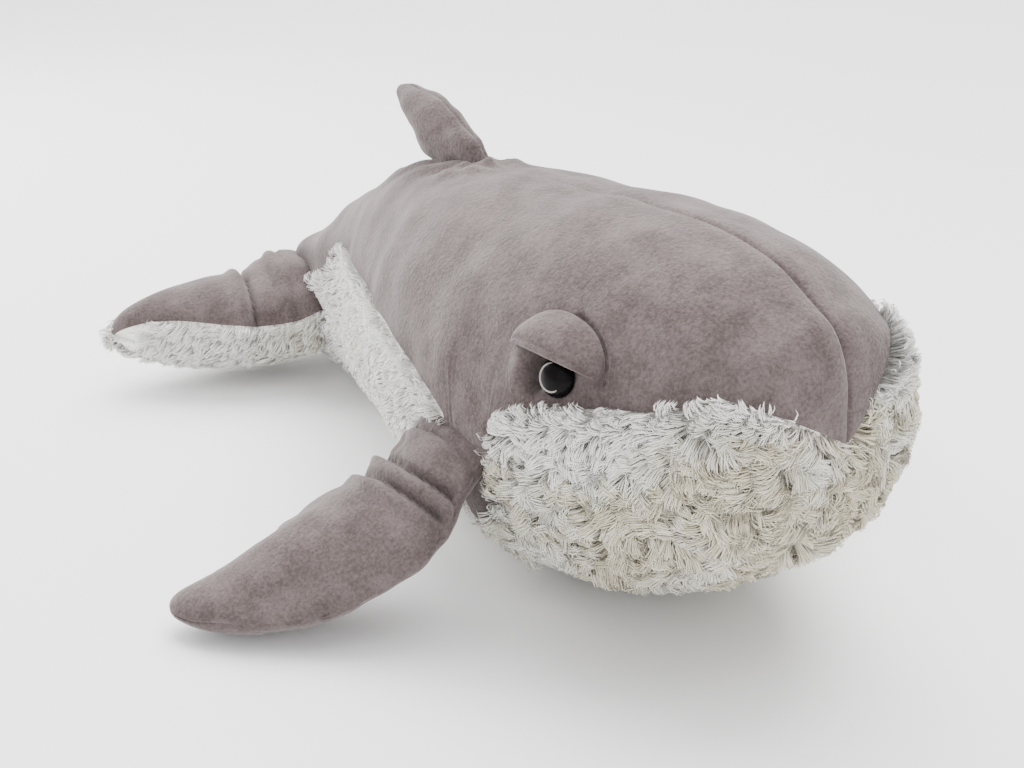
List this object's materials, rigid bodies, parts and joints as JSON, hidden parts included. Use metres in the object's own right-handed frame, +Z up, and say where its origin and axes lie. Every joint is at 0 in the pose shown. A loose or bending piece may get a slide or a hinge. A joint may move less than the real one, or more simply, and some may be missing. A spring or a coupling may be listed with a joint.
{
  "type": "plush whale",
  "caption": "Soft stuffed whale lying on its belly, with a furry underside, bending flippers, dorsal fin and tail, hooded eyes and a centre seam on the head.",
  "frame": {"origin": "on the floor, under the middle of the whale's box", "axes": "+Y towards the tail, the head points to -Y; +X towards the whale's left side; +Z up"},
  "size_m": [0.512, 0.609, 0.239],
  "materials": {
    "mauve_plush": "short-pile mauve-grey plush, matt with a soft sheen",
    "cream_fur": "long curly cream faux fur in tufts",
    "fibre_filling": "white polyester fibre filling",
    "eye_plastic": "polished black plastic dome",
    "eye_ring": "light grey ring set in the eye",
    "washer_nylon": "natural nylon locking washer"
  },
  "bodies": {
    "body": {"back_panel_right": "mauve_plush", "back_panel_left": "mauve_plush", "belly_panel": "cream_fur", "body_filling": "fibre_filling", "eyelid_right": "mauve_plush", "eyelid_left": "mauve_plush", "eye_right": "eye_plastic", "eye_left": "eye_plastic", "eye_ring_right": "eye_ring", "eye_ring_left": "eye_ring", "eye_washer_right": "washer_nylon", "eye_washer_left": "washer_nylon"},
    "tail_fluke": {"fluke_top": "mauve_plush", "fluke_underside": "cream_fur", "fluke_filling": "fibre_filling"},
    "flipper_right": {"flipper_right_upper": "mauve_plush", "flipper_right_under": "mauve_plush", "flipper_right_filling": "fibre_filling"},
    "flipper_left": {"flipper_left_upper": "mauve_plush", "flipper_left_under": "mauve_plush", "flipper_left_filling": "fibre_filling"},
    "dorsal_fin": {"dorsal_fin_right": "mauve_plush", "dorsal_fin_left": "mauve_plush", "dorsal_fin_filling": "fibre_filling"}
  },
  "joints": [
    {"name": "tail_bend", "type": "hinge", "parent": "body", "child": "tail_fluke", "pos_m": [0, 0.2, 0.063], "axis": [1, 0, 0], "range_deg": [-20, 35], "stiffness_Nm_per_rad": 1},
    {"name": "flipper_right_flap", "type": "hinge", "parent": "body", "child": "flipper_right", "pos_m": [-0.119, -0.11, 0.066], "axis": [0, 1, 0], "range_deg": [-25, 60], "stiffness_Nm_per_rad": 0.2},
    {"name": "flipper_left_flap", "type": "hinge", "parent": "body", "child": "flipper_left", "pos_m": [0.119, -0.11, 0.066], "axis": [0, -1, 0], "range_deg": [-25, 60], "stiffness_Nm_per_rad": 0.2},
    {"name": "dorsal_fin_flop", "type": "hinge", "parent": "body", "child": "dorsal_fin", "pos_m": [0, 0.051, 0.2064], "axis": [0, 0.9816, -0.1908], "range_deg": [-45, 45], "stiffness_Nm_per_rad": 0.15}
  ]
}
